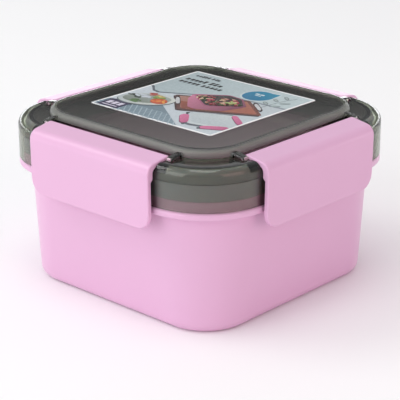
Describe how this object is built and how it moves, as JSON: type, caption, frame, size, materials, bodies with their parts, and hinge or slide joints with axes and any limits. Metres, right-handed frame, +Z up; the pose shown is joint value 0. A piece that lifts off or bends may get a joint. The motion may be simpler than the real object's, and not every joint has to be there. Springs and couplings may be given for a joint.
{
  "type": "snap lid food container",
  "caption": "Square pink lunch box with a raised smoked clear lid, a silicone seal and a hinged latch on each side that hooks under the rim.",
  "frame": {"origin": "middle of the underside, on the surface that the box stands on", "axes": "+Z up out of the box through the lid; X and Y square to the sides, with the latches on +X, -X, +Y and -Y"},
  "size_m": [0.1686, 0.1686, 0.0954],
  "materials": {
    "pink_plastic": "satin moulded polypropylene",
    "smoked_clear": "smoked clear plastic, polished",
    "seal_silicone": "translucent white silicone",
    "label_print": "glossy coated printed sticker"
  },
  "bodies": {
    "box": {"box_body": "pink_plastic"},
    "lid": {"lid_shell": "smoked_clear", "seal_gasket": "seal_silicone", "top_label": "label_print"},
    "latch_front": {"latch_front": "pink_plastic"},
    "latch_right": {"latch_right": "pink_plastic"},
    "latch_back": {"latch_back": "pink_plastic"},
    "latch_left": {"latch_left": "pink_plastic"}
  },
  "joints": [
    {"name": "lid_lift", "type": "slide", "parent": "box", "child": "lid", "axis": [0, 0, 1], "range_m": [0, 0.06]},
    {"name": "latch_right_hinge", "type": "hinge", "parent": "lid", "child": "latch_right", "pos_m": [0.07, 0, 0.09035], "axis": [0, -1, 0], "range_deg": [0, 120]},
    {"name": "latch_back_hinge", "type": "hinge", "parent": "lid", "child": "latch_back", "pos_m": [0, 0.07, 0.09035], "axis": [1, 0, 0], "range_deg": [0, 120]},
    {"name": "latch_left_hinge", "type": "hinge", "parent": "lid", "child": "latch_left", "pos_m": [-0.07, 0, 0.09035], "axis": [0, 1, 0], "range_deg": [0, 120]},
    {"name": "latch_front_hinge", "type": "hinge", "parent": "lid", "child": "latch_front", "pos_m": [0, -0.07, 0.09035], "axis": [-1, 0, 0], "range_deg": [0, 120]}
  ]
}
